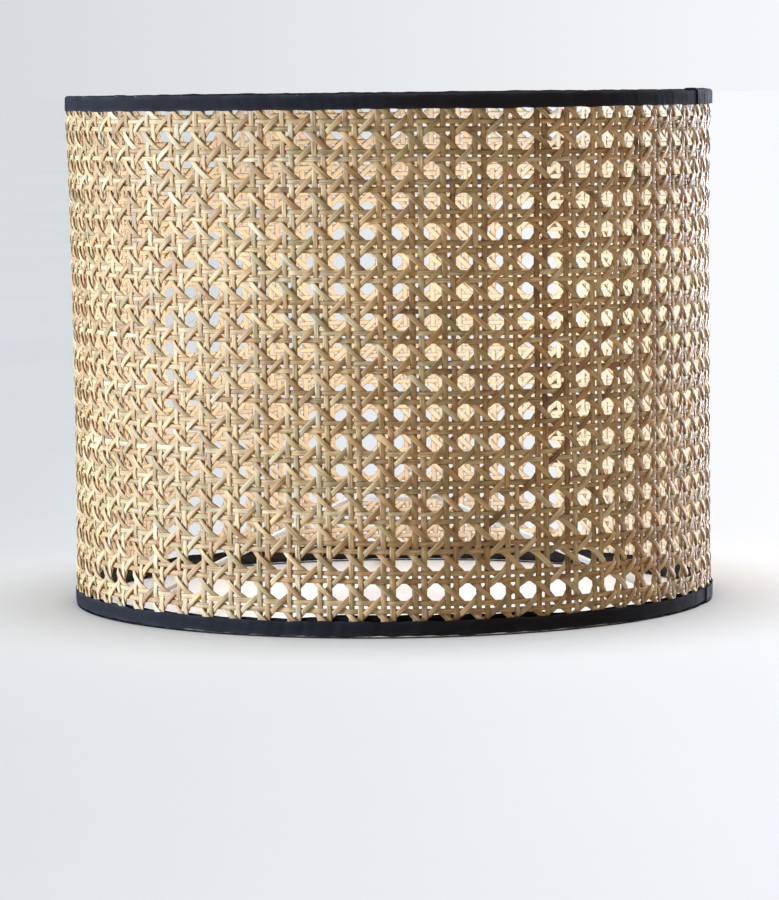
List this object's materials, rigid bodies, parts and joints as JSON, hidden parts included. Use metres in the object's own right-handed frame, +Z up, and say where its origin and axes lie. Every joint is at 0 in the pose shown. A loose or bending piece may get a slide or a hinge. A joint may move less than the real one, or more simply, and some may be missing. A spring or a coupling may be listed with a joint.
{
  "type": "cane drum lamp shade",
  "caption": "Drum lamp shade of open-weave cane webbing on a three-armed wire frame with a central fitter ring, bound top and bottom with black cloth tape.",
  "frame": {"origin": "centre of the fitter ring's bore, halfway through the ring's thickness, where the shade is held on its lampholder", "axes": "+Z up along the shade's axis, from the bottom rim towards the top rim; -Y towards the side seen in the reference view, between two of the arms; +X to that view's right"},
  "size_m": [0.3832, 0.3832, 0.3],
  "materials": {
    "cane": "natural cane, satin skin",
    "tape": "matte black cotton tape",
    "frame_white": "white powder coat, satin",
    "hoop_steel": "bare drawn steel wire",
    "weld": "white powder coat over weld metal"
  },
  "bodies": {
    "root": {"top_ring": "hoop_steel", "bottom_ring": "hoop_steel", "fitter_ring": "frame_white", "arm_left": "frame_white", "arm_right": "frame_white", "arm_back": "frame_white", "fitter_welds": "weld", "foot_welds": "weld", "cane_webbing": "cane", "top_tape": "tape", "bottom_tape": "tape"}
  },
  "joints": []
}
